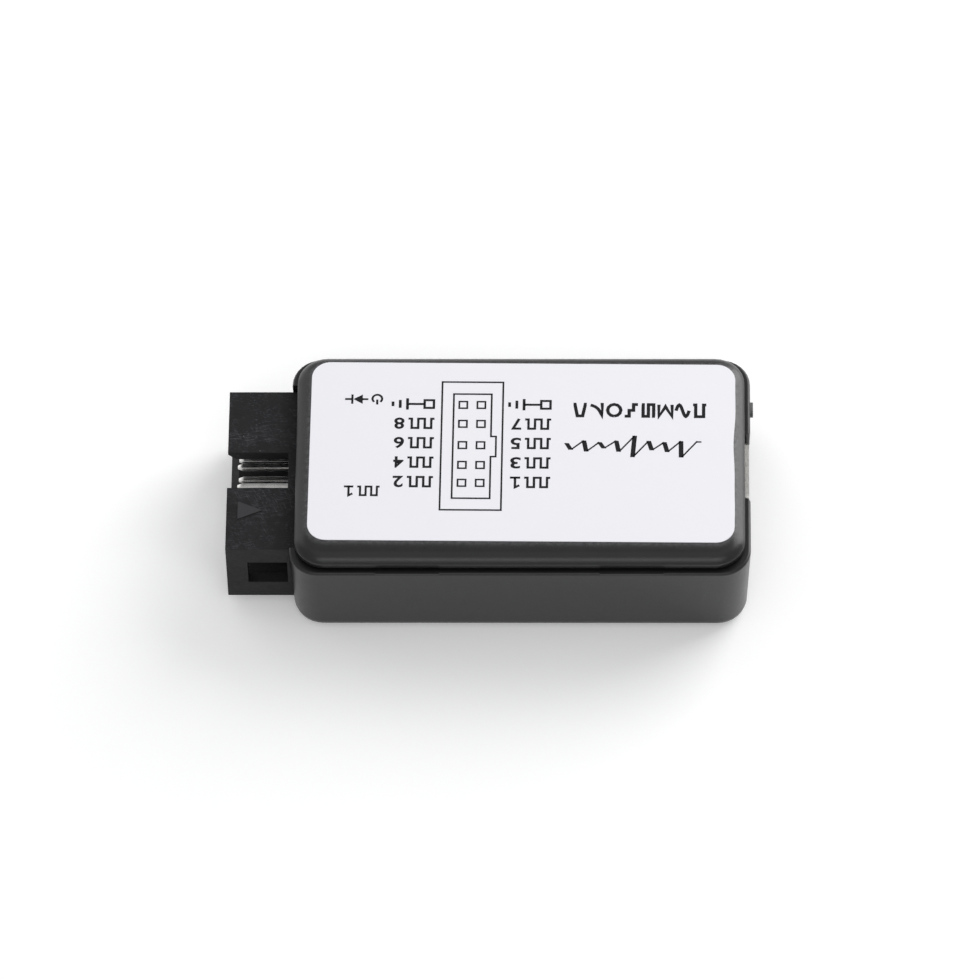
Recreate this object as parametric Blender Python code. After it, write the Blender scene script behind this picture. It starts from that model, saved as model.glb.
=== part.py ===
"""A pocket logic analyzer: a snap-together case round a circuit board.

A shrouded 2x5 probe header leaves the case at -X and a mini-USB socket opens at +X.
The label is on top, +Z. The origin is under the middle of the whole thing, on the
surface it stands on. Lengths are in metres.
"""
import math

import bmesh
import bpy
from mathutils import Matrix, Vector

MM = 0.001

# The case
CASE_LENGTH = 49.5 * MM
CASE_WIDTH = 27.8 * MM
CASE_HEIGHT = 13.0 * MM
LEDGE_HEIGHT = 11.25 * MM
CASE_CORNER = 3.2 * MM
TUB_CORNER = 1.2 * MM
LEDGE_ROUNDING = 0.3 * MM
WALL = 1.5 * MM
FLOOR = 1.4 * MM
FOOT_ROUNDING = 1.5 * MM
DRAFT = 0.4 * MM
COVER_INSET = 0.63 * MM
COVER_CORNER = 3.2 * MM
COVER_CROWN = 1.8 * MM
COVER_CROWN_END = 35.0
COVER_CEILING = 1.3 * MM
LIP_DEPTH = 2.0 * MM
LIP_THICKNESS = 0.9 * MM
LIP_ROOT = 0.5 * MM
LIP_INNER_CORNER = 0.8 * MM
LIGHT_HOLE_RADIUS = 1.0 * MM
SEAM = 0.3 * MM
GATE_NUB = 0.3 * MM

# Snap fit
SNAP_PLACE = 12.0 * MM
SNAP_WIDTH = 6.8 * MM
SNAP_TAB_HEIGHT = 0.08 * MM
SNAP_TAB_ROOT = 0.5 * MM
SNAP_TAB_INSET = 0.04 * MM
SNAP_TAB_DEPTH = 0.41 * MM
SNAP_BEAD = 0.15 * MM
SNAP_BEAD_ROOT = 0.4 * MM
SNAP_BEAD_HEIGHT = 0.5 * MM
SNAP_GROOVE_DEPTH = 0.25 * MM
SNAP_GROOVE_HEIGHT = 0.8 * MM

# Label
LABEL_LENGTH = 45.7 * MM
LABEL_WIDTH = 22.9 * MM
LABEL_THICKNESS = 0.1 * MM
LABEL_CORNER = 2.0 * MM
LABEL_LIFT = 0.02 * MM
LABEL_OFF_CENTRE = Vector((0.2 * MM, 0.62 * MM, 0.0))
LABEL_TWIST = math.radians(-0.45)

# Probe header
PITCH = 2.54 * MM
HEADER_COLUMNS = 5
HEADER_LENGTH = 20.3 * MM
HEADER_HEIGHT = 9.1 * MM
HEADER_DEPTH = 8.9 * MM
HEADER_REACH = 6.8 * MM
HEADER_MIDDLE = 5.88 * MM
HEADER_FLOOR = 2.35 * MM
SHROUD_LONG_WALL = 1.3 * MM
SHROUD_END_WALL = 1.2 * MM
MOUTH_CHAMFER = 0.85 * MM
KEY_SLOT = 4.5 * MM
END_WINDOW_HEIGHT = 3.8 * MM
END_WINDOW_START = 2.3 * MM
PIN = 0.64 * MM
PIN_RECESS = 0.95 * MM
PIN_TAIL = 2.0 * MM
PIN_POINT = 0.6 * MM
PIN_CLEARANCE = 0.05 * MM
PIN_TAPER = 0.5

# Circuit board
BOARD_THICKNESS = 1.6 * MM
BOARD_WIDTH = 23.4 * MM
BOARD_CORNER = 0.6 * MM
STAND_OFF = 0.1 * MM
HEAT_TAB = 3.0 * MM
CHIP_CHAMFER = 0.12 * MM
POST_RADIUS = 1.2 * MM
POST_PLACE = (18.8 * MM, 9.7 * MM)

# Mini-USB socket
USB_WIDTH = 7.6 * MM
USB_HEIGHT = 3.85 * MM
USB_DEPTH = 9.2 * MM
USB_RECESS = 0.15 * MM
USB_SHEET = 0.3 * MM
USB_TOP_CORNER = 0.8 * MM
USB_FOOT_STEP = 0.75 * MM
USB_FOOT_HEIGHT = 0.9 * MM
USB_SHOULDER = 1.5 * MM
USB_PLAY = 0.08 * MM
USB_CONTACTS = 5
USB_CONTACT_PITCH = 0.8 * MM

# Worked out from the above
CASE_X = (HEADER_REACH - GATE_NUB) / 2
WEST = CASE_X - CASE_LENGTH / 2
EAST = CASE_X + CASE_LENGTH / 2
HALF_WIDTH = CASE_WIDTH / 2
MOUTH_X = WEST - HEADER_REACH
HEADER_BACK_X = MOUTH_X + HEADER_DEPTH
POCKET_X = HEADER_BACK_X - HEADER_FLOOR
BOARD_TOP = HEADER_MIDDLE + BOARD_THICKNESS / 2
BOARD_BOTTOM = HEADER_MIDDLE - BOARD_THICKNESS / 2
BOARD_WEST = HEADER_BACK_X + SEAM
BOARD_EAST = EAST - WALL - SEAM
USB_FRONT = EAST - USB_RECESS
USB_BOTTOM = BOARD_TOP + STAND_OFF
COVER_BOTTOM = LEDGE_HEIGHT + SEAM
LED_PLACES = {
    "power_led": (CASE_X - 18.9 * MM, 7.2 * MM),
    "channel_1_led": (CASE_X - 18.9 * MM, -4.8 * MM),
}

PLASTIC_BLACK = ((0.018, 0.018, 0.019), 0.42, 0.0)
HEADER_BLACK = ((0.014, 0.014, 0.015), 0.5, 0.0)
CHIP_BLACK = ((0.02, 0.02, 0.022), 0.6, 0.0)
LABEL_WHITE = ((0.88, 0.88, 0.9), 0.4, 0.0)
BOARD_BLUE = ((0.02, 0.07, 0.25), 0.4, 0.0)
TIN = ((0.75, 0.75, 0.73), 0.25, 1.0)
NICKEL = ((0.66, 0.66, 0.64), 0.3, 1.0)
GOLD = ((0.83, 0.62, 0.27), 0.3, 1.0)
CERAMIC_TAN = ((0.45, 0.33, 0.2), 0.5, 0.0)
LENS_RED = ((0.75, 0.1, 0.08), 0.2, 0.0)
LENS_GREEN = ((0.15, 0.6, 0.2), 0.2, 0.0)
FUSE_GREEN = ((0.05, 0.3, 0.12), 0.5, 0.0)
TANTALUM_YELLOW = ((0.75, 0.5, 0.08), 0.5, 0.0)


def clear_scene():
    for thing in list(bpy.data.objects):
        bpy.data.objects.remove(thing, do_unlink=True)


def make_collection(name):
    collection = bpy.data.collections.new(name)
    bpy.context.scene.collection.children.link(collection)
    return collection


def make_material(name, look):
    colour, roughness, metallic = look
    material = bpy.data.materials.new(name)
    material.use_nodes = True
    shader = material.node_tree.nodes["Principled BSDF"]
    shader.inputs["Base Color"].default_value = (*colour, 1.0)
    shader.inputs["Roughness"].default_value = roughness
    shader.inputs["Metallic"].default_value = metallic
    material.diffuse_color = (*colour, 1.0)
    return material


clear_scene()
PIECES = make_collection("logic_analyzer")
CUTTERS = make_collection("cutters")


def add_mesh(name, bm, collection):
    """Turn a bmesh into a linked object whose faces point outwards."""
    bmesh.ops.recalc_face_normals(bm, faces=bm.faces)
    mesh = bpy.data.meshes.new(name)
    bm.to_mesh(mesh)
    bm.free()
    thing = bpy.data.objects.new(name, mesh)
    collection.objects.link(thing)
    return thing


def piece(name, bm, look, smooth=False):
    thing = add_mesh(name, bm, PIECES)
    thing.data.materials.append(make_material(name, look))
    if smooth:
        thing.data.shade_smooth()
        thing.data.set_sharp_from_angle(angle=math.radians(40))
    return thing


def cutter(name, bm):
    thing = add_mesh(name, bm, CUTTERS)
    thing.hide_render = True
    thing.display_type = "WIRE"
    return thing


def apply_boolean(target, tool, operation):
    modifier = target.modifiers.new(tool.name, "BOOLEAN")
    modifier.operation = operation
    modifier.solver = "EXACT"
    modifier.object = tool


def cut(target, tool_name, bm):
    apply_boolean(target, cutter(tool_name, bm), "DIFFERENCE")


def fuse(target, tool_name, bm):
    apply_boolean(target, cutter(tool_name, bm), "UNION")


def box(low, high):
    """A plain box between two opposite corners."""
    low = Vector(low)
    high = Vector(high)
    bm = bmesh.new()
    bmesh.ops.create_cube(bm, size=1.0)
    bmesh.ops.scale(bm, vec=high - low, verts=bm.verts)
    bmesh.ops.translate(bm, vec=(low + high) / 2, verts=bm.verts)
    return bm


def bevel(bm, edges, width, segments):
    bmesh.ops.bevel(bm, geom=edges, offset=width, segments=segments, profile=0.5, affect="EDGES")


def level_edges(bm, height):
    """The edges that lie flat at one height."""
    return [e for e in bm.edges if all(abs(v.co.z - height) < 1e-7 for v in e.verts)]


def rounded_box(low, high, corner, top=0.0, bottom=0.0, draft=0.0, segments=6):
    """A box with round upright corners, and a round or plain top and bottom edge.

    The bottom is smaller than the top by the draft on every side.
    """
    bm = box(low, high)
    centre = (Vector(low) + Vector(high)) / 2
    for vert in bm.verts:
        if vert.co.z < centre.z:
            vert.co.x -= math.copysign(draft, vert.co.x - centre.x)
            vert.co.y -= math.copysign(draft, vert.co.y - centre.y)
    upright = [e for e in bm.edges if abs(e.verts[0].co.z - e.verts[1].co.z) > 1e-6]
    bevel(bm, upright, corner, segments)
    if top:
        bevel(bm, level_edges(bm, high[2]), top, 4)
    if bottom:
        bevel(bm, level_edges(bm, low[2]), bottom, 4)
    return bm


def crowned_box(low, high, corner, radius, end, segments=8, steps=5):
    """A box with round upright corners and an arc along its top edge.

    The arc has a larger radius than a full rounding, and it stops short of the side: its
    last normal is at the end angle above the level, in degrees.
    """
    low, high = Vector(low), Vector(high)
    centre = (low + high) / 2
    half = (high - low) / 2
    reach = radius * math.cos(math.radians(end))
    sections = [(0.0, low.z)]
    for x, z in arc((0.0, high.z - radius), radius, end, 90.0, steps):
        sections.append((reach - x, z))
    bm = bmesh.new()
    rings = []
    for inset, z in sections:
        outline = []
        bend = corner - inset
        for x_side, y_side, start in ((1, 1, 0), (-1, 1, 90), (-1, -1, 180), (1, -1, 270)):
            bend_centre = (centre.x + x_side * (half.x - corner), centre.y + y_side * (half.y - corner))
            outline += arc(bend_centre, bend, start, start + 90, segments)
        rings.append([bm.verts.new((x, y, z)) for x, y in outline])
    bm.faces.new(list(reversed(rings[0])))
    bm.faces.new(rings[-1])
    for below, above in zip(rings, rings[1:]):
        for i in range(len(below)):
            j = (i + 1) % len(below)
            bm.faces.new((below[i], below[j], above[j], above[i]))
    return bm


def merge(parts):
    """Put several bmeshes into one, as separate bodies."""
    joined = bmesh.new()
    for part in parts:
        scratch = bpy.data.meshes.new("scratch")
        part.to_mesh(scratch)
        part.free()
        joined.from_mesh(scratch)
        bpy.data.meshes.remove(scratch)
    return joined


def outline_solid(points, thickness, placing):
    """A flat outline, filled and given a thickness, then placed by a matrix."""
    curve = bpy.data.curves.new("outline", "CURVE")
    curve.dimensions = "2D"
    curve.fill_mode = "BOTH"
    curve.extrude = thickness / 2
    spline = curve.splines.new("POLY")
    spline.points.add(len(points) - 1)
    for knot, (x, y) in zip(spline.points, points):
        knot.co = (x, y, 0.0, 1.0)
    spline.use_cyclic_u = True
    guide = bpy.data.objects.new("outline", curve)
    CUTTERS.objects.link(guide)
    bpy.context.view_layer.update()
    evaluated = guide.evaluated_get(bpy.context.evaluated_depsgraph_get())
    mesh = bpy.data.meshes.new_from_object(evaluated)
    bm = bmesh.new()
    bm.from_mesh(mesh)
    bmesh.ops.remove_doubles(bm, verts=bm.verts, dist=1e-7)
    bmesh.ops.transform(bm, matrix=placing, verts=bm.verts)
    bmesh.ops.recalc_face_normals(bm, faces=bm.faces)
    bpy.data.objects.remove(guide)
    bpy.data.curves.remove(curve)
    bpy.data.meshes.remove(mesh)
    return bm


def arc(centre, radius, start, end, steps):
    """Points along an arc, angles in degrees."""
    points = []
    for step in range(steps + 1):
        angle = math.radians(start + (end - start) * step / steps)
        points.append((centre[0] + radius * math.cos(angle), centre[1] + radius * math.sin(angle)))
    return points


def cylinder(centre, radius, low, high, sides=20):
    bm = bmesh.new()
    bmesh.ops.create_cone(
        bm, cap_ends=True, segments=sides, radius1=radius, radius2=radius, depth=high - low
    )
    bmesh.ops.translate(bm, vec=(centre[0], centre[1], (low + high) / 2), verts=bm.verts)
    return bm


def build_lower_shell():
    """The tub: the board drops in from above, so both end openings are open at the top."""
    shell = piece(
        "lower_shell",
        rounded_box(
            (WEST, -HALF_WIDTH, 0.0),
            (EAST, HALF_WIDTH, LEDGE_HEIGHT),
            CASE_CORNER,
            top=LEDGE_ROUNDING,
            bottom=FOOT_ROUNDING,
            draft=DRAFT,
            segments=8,
        ),
        PLASTIC_BLACK,
        smooth=True,
    )
    above = CASE_HEIGHT
    cut(
        shell,
        "tub_inside",
        rounded_box(
            (WEST + WALL, -HALF_WIDTH + WALL, FLOOR),
            (EAST - WALL, HALF_WIDTH - WALL, above),
            TUB_CORNER,
            draft=DRAFT,
        ),
    )
    posts = []
    for side in (-1, 1):
        for end in (-1, 1):
            place = (CASE_X + end * POST_PLACE[0], side * POST_PLACE[1])
            posts.append(cylinder(place, POST_RADIUS, FLOOR / 2, BOARD_BOTTOM - SEAM, 16))
    fuse(shell, "board_posts", merge(posts))
    tabs = []
    for side in (-1, 1):
        for end in (-1, 1):
            x = CASE_X + end * SNAP_PLACE
            outer = side * (HALF_WIDTH - SNAP_TAB_INSET)
            inward = side * (HALF_WIDTH - SNAP_TAB_INSET - SNAP_TAB_DEPTH)
            low = (x - SNAP_WIDTH / 2, min(outer, inward), LEDGE_HEIGHT - SNAP_TAB_ROOT)
            high = (x + SNAP_WIDTH / 2, max(outer, inward), LEDGE_HEIGHT + SNAP_TAB_HEIGHT)
            tabs.append(box(low, high))
    fuse(shell, "ledge_tabs", merge(tabs))
    nub_middle = 7.7 * MM
    nub_half = 0.8 * MM
    nub_low = LEDGE_HEIGHT - 0.95 * MM
    nub_high = LEDGE_HEIGHT - 0.35 * MM
    fuse(
        shell,
        "gate_nub",
        box(
            (EAST - WALL / 2, nub_middle - nub_half, nub_low),
            (EAST + GATE_NUB, nub_middle + nub_half, nub_high),
        ),
    )
    half = HEADER_LENGTH / 2 + SEAM
    floor = HEADER_MIDDLE - HEADER_HEIGHT / 2 - SEAM
    cut(shell, "header_opening", box((WEST - WALL, -half, floor), (BOARD_WEST, half, above)))
    cut(shell, "usb_opening", usb_opening(above))
    for end in (-1, 1):
        x = CASE_X + end * SNAP_PLACE
        reach = HALF_WIDTH - WALL + SNAP_GROOVE_DEPTH
        middle = COVER_BOTTOM - LIP_DEPTH / 2
        cut(
            shell,
            f"snap_groove_{end}",
            box(
                (x - SNAP_WIDTH / 2, -reach, middle - SNAP_GROOVE_HEIGHT / 2),
                (x + SNAP_WIDTH / 2, reach, middle + SNAP_GROOVE_HEIGHT / 2),
            ),
        )


def usb_opening(above):
    """The notch for the socket, its two outer corners rounded away from the plug."""
    half = USB_WIDTH / 2 + SEAM
    rounding = 0.5 * MM
    x = EAST - rounding
    side = arc((x, half + rounding), rounding, -90, 0, 4)
    outline = [(BOARD_EAST - WALL, half), *side, (EAST + WALL, half + rounding)]
    outline += [(x, -y) for x, y in reversed(outline)]
    low = USB_BOTTOM - SEAM
    return outline_solid(outline, above - low, Matrix.Translation((0, 0, (above + low) / 2)))


def build_top_cover():
    """The lid: a rounded plate with a lip that drops inside the tub's walls."""
    cover = piece(
        "top_cover",
        crowned_box(
            (WEST + COVER_INSET, -HALF_WIDTH + COVER_INSET, COVER_BOTTOM),
            (EAST - COVER_INSET, HALF_WIDTH - COVER_INSET, CASE_HEIGHT),
            COVER_CORNER,
            COVER_CROWN,
            COVER_CROWN_END,
        ),
        PLASTIC_BLACK,
        smooth=True,
    )
    gap = WALL + SEAM
    lip_bottom = COVER_BOTTOM - LIP_DEPTH
    ceiling = CASE_HEIGHT - COVER_CEILING
    fuse(
        cover,
        "lid_lip",
        rounded_box(
            (WEST + gap, -HALF_WIDTH + gap, lip_bottom),
            (EAST - gap, HALF_WIDTH - gap, COVER_BOTTOM + LIP_ROOT),
            TUB_CORNER,
            segments=4,
        ),
    )
    beads = []
    for side in (-1, 1):
        for end in (-1, 1):
            x = CASE_X + end * SNAP_PLACE
            crest = side * (HALF_WIDTH - gap + SNAP_BEAD)
            root = side * (HALF_WIDTH - gap - SNAP_BEAD_ROOT)
            middle = COVER_BOTTOM - LIP_DEPTH / 2
            half = SNAP_BEAD_HEIGHT / 2
            low = (x - SNAP_WIDTH / 2 + SEAM, min(crest, root), middle - half)
            high = (x + SNAP_WIDTH / 2 - SEAM, max(crest, root), middle + half)
            beads.append(box(low, high))
    fuse(cover, "snap_beads", merge(beads))
    inside = gap + LIP_THICKNESS
    cut(
        cover,
        "lid_inside",
        rounded_box(
            (WEST + inside, -HALF_WIDTH + inside, 0.0),
            (EAST - inside, HALF_WIDTH - inside, ceiling),
            LIP_INNER_CORNER,
            segments=4,
        ),
    )
    half = HEADER_LENGTH / 2 + SEAM
    over_header = HEADER_MIDDLE + HEADER_HEIGHT / 2 + SEAM
    cut(cover, "lip_over_header", box((WEST, -half, 0.0), (WEST + 2 * inside, half, over_header)))
    half = USB_WIDTH / 2 + SEAM
    over_usb = USB_BOTTOM + USB_HEIGHT + SEAM
    cut(cover, "lip_over_usb", box((EAST - 2 * inside, -half, 0.0), (EAST, half, over_usb)))
    lights = []
    for place in LED_PLACES.values():
        lights.append(cylinder(place, LIGHT_HOLE_RADIUS, ceiling - WALL, CASE_HEIGHT + WALL, 16))
    cut(cover, "light_holes", merge(lights))


def build_label():
    """The adhesive label, cut by hand and stuck on a little askew."""
    half = Vector((LABEL_LENGTH / 2, LABEL_WIDTH / 2, LABEL_THICKNESS / 2))
    bm = rounded_box(-half, half, LABEL_CORNER, segments=8)
    place = LABEL_OFF_CENTRE + Vector((CASE_X, 0.0, CASE_HEIGHT + LABEL_LIFT + half.z))
    turn = Matrix.Rotation(LABEL_TWIST, 4, "Z")
    bmesh.ops.transform(bm, matrix=Matrix.Translation(place) @ turn, verts=bm.verts)
    piece("label", bm, LABEL_WHITE)


def pin_places():
    """Each pin's number with its y and z: odd numbers are in the upper row."""
    for column in range(HEADER_COLUMNS):
        y = (column - (HEADER_COLUMNS - 1) / 2) * PITCH
        for row, z in enumerate((HEADER_MIDDLE + PITCH / 2, HEADER_MIDDLE - PITCH / 2)):
            yield column * 2 + row + 1, y, z


def build_header():
    """The shroud round the pins: a key slot up, a window in each end, an arrow at pin 1."""
    half_length = HEADER_LENGTH / 2
    low_z = HEADER_MIDDLE - HEADER_HEIGHT / 2
    high_z = HEADER_MIDDLE + HEADER_HEIGHT / 2
    housing = piece(
        "header_housing",
        box((MOUTH_X, -half_length, low_z), (HEADER_BACK_X, half_length, high_z)),
        HEADER_BLACK,
    )
    pocket_y = half_length - SHROUD_END_WALL
    pocket_z = HEADER_HEIGHT / 2 - SHROUD_LONG_WALL
    before = MOUTH_X - WALL
    cut(
        housing,
        "pocket",
        box(
            (before, -pocket_y, HEADER_MIDDLE - pocket_z),
            (POCKET_X, pocket_y, HEADER_MIDDLE + pocket_z),
        ),
    )
    lead_in = box(
        (MOUTH_X, -pocket_y, HEADER_MIDDLE - pocket_z),
        (MOUTH_X + MOUTH_CHAMFER, pocket_y, HEADER_MIDDLE + pocket_z),
    )
    for vert in lead_in.verts:
        if vert.co.x < MOUTH_X + MOUTH_CHAMFER / 2:
            vert.co.y += math.copysign(MOUTH_CHAMFER, vert.co.y)
            vert.co.z += math.copysign(MOUTH_CHAMFER, vert.co.z - HEADER_MIDDLE)
    cut(housing, "lead_in", lead_in)
    slot_low = HEADER_MIDDLE + pocket_z / 2
    cut(
        housing,
        "key_slot",
        box((before, -KEY_SLOT / 2, slot_low), (POCKET_X, KEY_SLOT / 2, CASE_HEIGHT)),
    )
    window = END_WINDOW_HEIGHT / 2
    for side in (-1, 1):
        ends = sorted((side * (half_length + WALL), side * (pocket_y - WALL)))
        cut(
            housing,
            f"end_window_{side}",
            box(
                (MOUTH_X + END_WINDOW_START, ends[0], HEADER_MIDDLE - window),
                (POCKET_X, ends[1], HEADER_MIDDLE + window),
            ),
        )
    hole = PIN / 2 + PIN_CLEARANCE
    holes = []
    for _, y, z in pin_places():
        low = (POCKET_X - WALL, y - hole, z - hole)
        high = (HEADER_BACK_X + WALL, y + hole, z + hole)
        holes.append(box(low, high))
    cut(housing, "pin_holes", merge(holes))
    arrow_base = MOUTH_X + 1.2 * MM
    arrow_length = 2.7 * MM
    arrow_half = 1.15 * MM
    arrow_y = -5.2 * MM
    arrow_rise = 0.12 * MM
    arrow = [
        (arrow_base, arrow_y - arrow_half),
        (arrow_base + arrow_length, arrow_y),
        (arrow_base, arrow_y + arrow_half),
    ]
    raised = Matrix.Translation((0.0, 0.0, high_z))
    fuse(housing, "pin_1_arrow", outline_solid(arrow, 2 * arrow_rise, raised))


def build_pins():
    """Square posts with tapered points, which run back over the board's edge pads."""
    tip = MOUTH_X + PIN_RECESS
    tail = BOARD_WEST + PIN_TAIL
    for number, y, z in pin_places():
        half = PIN / 2
        shaft = box((tip + PIN_POINT, y - half, z - half), (tail, y + half, z + half))
        front = [f for f in shaft.faces if f.normal.x < -0.9]
        grown = bmesh.ops.extrude_face_region(shaft, geom=front)
        bmesh.ops.delete(shaft, geom=front, context="FACES")
        for vert in (v for v in grown["geom"] if isinstance(v, bmesh.types.BMVert)):
            vert.co.x = tip
            vert.co.y = y + (vert.co.y - y) * PIN_TAPER
            vert.co.z = z + (vert.co.z - z) * PIN_TAPER
        piece(f"header_pin_{number}", shaft, TIN)


def build_board():
    low = (BOARD_WEST, -BOARD_WIDTH / 2, BOARD_BOTTOM)
    high = (BOARD_EAST, BOARD_WIDTH / 2, BOARD_TOP)
    piece("circuit_board", rounded_box(low, high, BOARD_CORNER, segments=3), BOARD_BLUE)


def socket_outline(shrink):
    """Half-round upper corners and stepped-in lower sides, in the socket's own plane."""
    half = USB_WIDTH / 2 - shrink
    top = USB_HEIGHT - shrink
    bottom = shrink
    round_top = USB_TOP_CORNER - shrink * 0.6
    foot_half = half - USB_FOOT_STEP
    outline = arc((half - round_top, top - round_top), round_top, 0, 90, 4)
    outline = [(half, bottom + USB_SHOULDER), *outline]
    outline = [(foot_half, bottom), (foot_half, bottom + USB_FOOT_HEIGHT), *outline]
    return outline + [(-x, y) for x, y in reversed(outline)]


def stand_up(x):
    """Stand an outline up across the case: its x runs along Y, its y upwards."""
    return Matrix(((0, 0, 1, x), (1, 0, 0, 0), (0, 1, 0, USB_BOTTOM), (0, 0, 0, 1)))


def build_usb():
    """The mini-USB socket: bent sheet metal round a moulded tongue with five contacts."""
    middle = USB_FRONT - USB_DEPTH / 2
    shell = piece(
        "usb_shell", outline_solid(socket_outline(0.0), USB_DEPTH, stand_up(middle)), NICKEL, True
    )
    inner = outline_solid(socket_outline(USB_SHEET), 2 * USB_DEPTH, stand_up(middle))
    cut(shell, "socket_inside", inner)
    block_length = 2.6 * MM
    back = USB_FRONT - USB_DEPTH
    block_outline = socket_outline(USB_SHEET + USB_PLAY)
    block = outline_solid(block_outline, block_length, stand_up(back + block_length / 2))
    insulator = piece("usb_insulator", block, CHIP_BLACK)
    tongue_low = USB_BOTTOM + 1.75 * MM
    tongue_high = tongue_low + 0.8 * MM
    tongue_half = 2.3 * MM
    tongue_end = USB_FRONT - 1.2 * MM
    tongue = box(
        (back + block_length / 2, -tongue_half, tongue_low), (tongue_end, tongue_half, tongue_high)
    )
    fuse(insulator, "tongue", tongue)
    contact_half = 0.2 * MM
    contact_low = tongue_high + 0.03 * MM
    contact_high = contact_low + 0.15 * MM
    contact_back = back + block_length + 0.1 * MM
    contact_front = tongue_end - 0.3 * MM
    for number in range(USB_CONTACTS):
        y = (number - (USB_CONTACTS - 1) / 2) * USB_CONTACT_PITCH
        strip = box(
            (contact_back, y - contact_half, contact_low),
            (contact_front, y + contact_half, contact_high),
        )
        piece(f"usb_contact_{number + 1}", strip, GOLD)


def chip_block(name, place, size, look):
    """A plain surface-mount part standing on the board."""
    x, y = place
    low = (x - size[0] / 2, y - size[1] / 2, BOARD_TOP + STAND_OFF)
    high = (x + size[0] / 2, y + size[1] / 2, BOARD_TOP + STAND_OFF + size[2])
    bm = box(low, high)
    bevel(bm, list(bm.edges), CHIP_CHAMFER, 1)
    return piece(name, bm, look)


def leaded_chip(name, place, size, span, leads, pitch, look=CHIP_BLACK, turned=False):
    """A chip with gull-wing leads down both sides, all one solid."""
    x, y = place
    base = BOARD_TOP + STAND_OFF
    half = Vector((size[0] / 2, size[1] / 2, size[2] / 2))
    body = box(-half, half)
    bevel(body, list(body.edges), CHIP_CHAMFER, 1)
    thick = 0.18 * MM
    wide = min(0.45 * pitch, 0.42 * MM)
    root = half.y - 0.3 * MM
    foot = -half.z
    knee = half.y + 0.35 * (span / 2 - half.y)
    ankle = half.y + 0.5 * (span / 2 - half.y)
    outline = [
        (root, 0.0),
        (knee, 0.0),
        (ankle, foot + thick),
        (span / 2, foot + thick),
        (span / 2, foot),
        (ankle - thick, foot),
        (knee - thick, -thick),
        (root, -thick),
    ]
    wings = []
    for side, count in zip((1, -1), leads):
        for number in range(count):
            along = (number - (count - 1) / 2) * pitch
            width = HEAT_TAB if count == 1 else wide
            stand = Matrix(((0, 0, 1, along), (side, 0, 0, 0), (0, 1, 0, 0), (0, 0, 0, 1)))
            wings.append(outline_solid(outline, width, stand))
    placing = Matrix.Translation((x, y, base + half.z))
    if turned:
        placing = placing @ Matrix.Rotation(math.radians(90), 4, "Z")
    bmesh.ops.transform(body, matrix=placing, verts=body.verts)
    chip = piece(name, body, look)
    leads_mesh = merge(wings)
    bmesh.ops.transform(leads_mesh, matrix=placing, verts=leads_mesh.verts)
    fuse(chip, f"{name}_leads", leads_mesh)
    return chip


def build_crystal():
    """A low metal can with round ends on a moulded seat."""
    length = 11.0 * MM
    width = 4.4 * MM
    seat_height = 0.7 * MM
    seat_border = 0.4 * MM
    can_foot = 0.05 * MM
    can_height = 3.1 * MM
    end_radius = width / 2 - 0.02 * MM
    x, y = CASE_X + 3.0 * MM, -8.4 * MM
    seat_top = BOARD_TOP + STAND_OFF + seat_height
    seat_size = (length + seat_border, width + seat_border, seat_height)
    chip_block("crystal_seat", (x, y), seat_size, CHIP_BLACK)
    low = (x - length / 2, y - width / 2, seat_top + can_foot)
    high = (x + length / 2, y + width / 2, seat_top + can_height)
    can = rounded_box(low, high, end_radius, top=0.4 * MM, segments=8)
    piece("quartz_crystal", can, NICKEL, smooth=True)


def build_components():
    def at(x, y):
        return (CASE_X + x * MM, y * MM)

    def size(x, y, z):
        return (x * MM, y * MM, z * MM)

    chip_block("usb_microcontroller", at(3.5, 0.0), size(8.0, 8.0, 0.85), CHIP_BLACK)
    leaded_chip(
        "bus_buffer", at(-10.5, 0.0), size(7.2, 5.3, 1.75), 7.8 * MM, (10, 10), 0.65 * MM, turned=True
    )
    leaded_chip("memory_chip", at(1.5, 8.0), size(4.9, 3.9, 1.45), 6.0 * MM, (4, 4), 1.27 * MM)
    leaded_chip("voltage_regulator", at(12.0, 7.6), size(6.5, 3.5, 1.6), 7.0 * MM, (3, 1), 2.3 * MM)
    chip_block("power_led", LED_PLACES["power_led"], size(1.25, 2.0, 0.8), LENS_RED)
    chip_block("channel_1_led", LED_PLACES["channel_1_led"], size(1.25, 2.0, 0.8), LENS_GREEN)
    for number, y in enumerate((1.9, -1.9), start=1):
        chip_block(f"resistor_array_{number}", at(-17.2, y), size(1.6, 3.2, 0.55), CHIP_BLACK)
    resistors = (at(-17.0, 7.2), at(-16.8, -5.4), at(12.6, 2.4))
    for number, place in enumerate(resistors, start=1):
        chip_block(f"resistor_{number}", place, size(1.25, 2.0, 0.5), CHIP_BLACK)
    capacitors = (at(-4.5, 6.2), at(-4.5, -6.2), at(9.9, -1.8), at(12.6, -2.2))
    for number, place in enumerate(capacitors, start=1):
        chip_block(f"capacitor_{number}", place, size(1.25, 2.0, 0.9), CERAMIC_TAN)
    chip_block("tantalum_capacitor", at(12.4, -8.0), size(3.2, 1.6, 1.6), TANTALUM_YELLOW)
    chip_block("resettable_fuse", at(18.6, -7.4), size(3.2, 1.6, 0.75), FUSE_GREEN)


build_lower_shell()
build_top_cover()
build_label()
build_header()
build_pins()
build_board()
build_usb()
build_crystal()
build_components()
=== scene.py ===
# Looks of the pocket logic analyzer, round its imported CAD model. Lengths are in metres in
# the model's own frame: the probe header is at -X, the USB socket at +X, and the label's
# print reads upright from +Y.
import math

import bmesh
import bpy
from mathutils import Matrix, Vector


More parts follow.
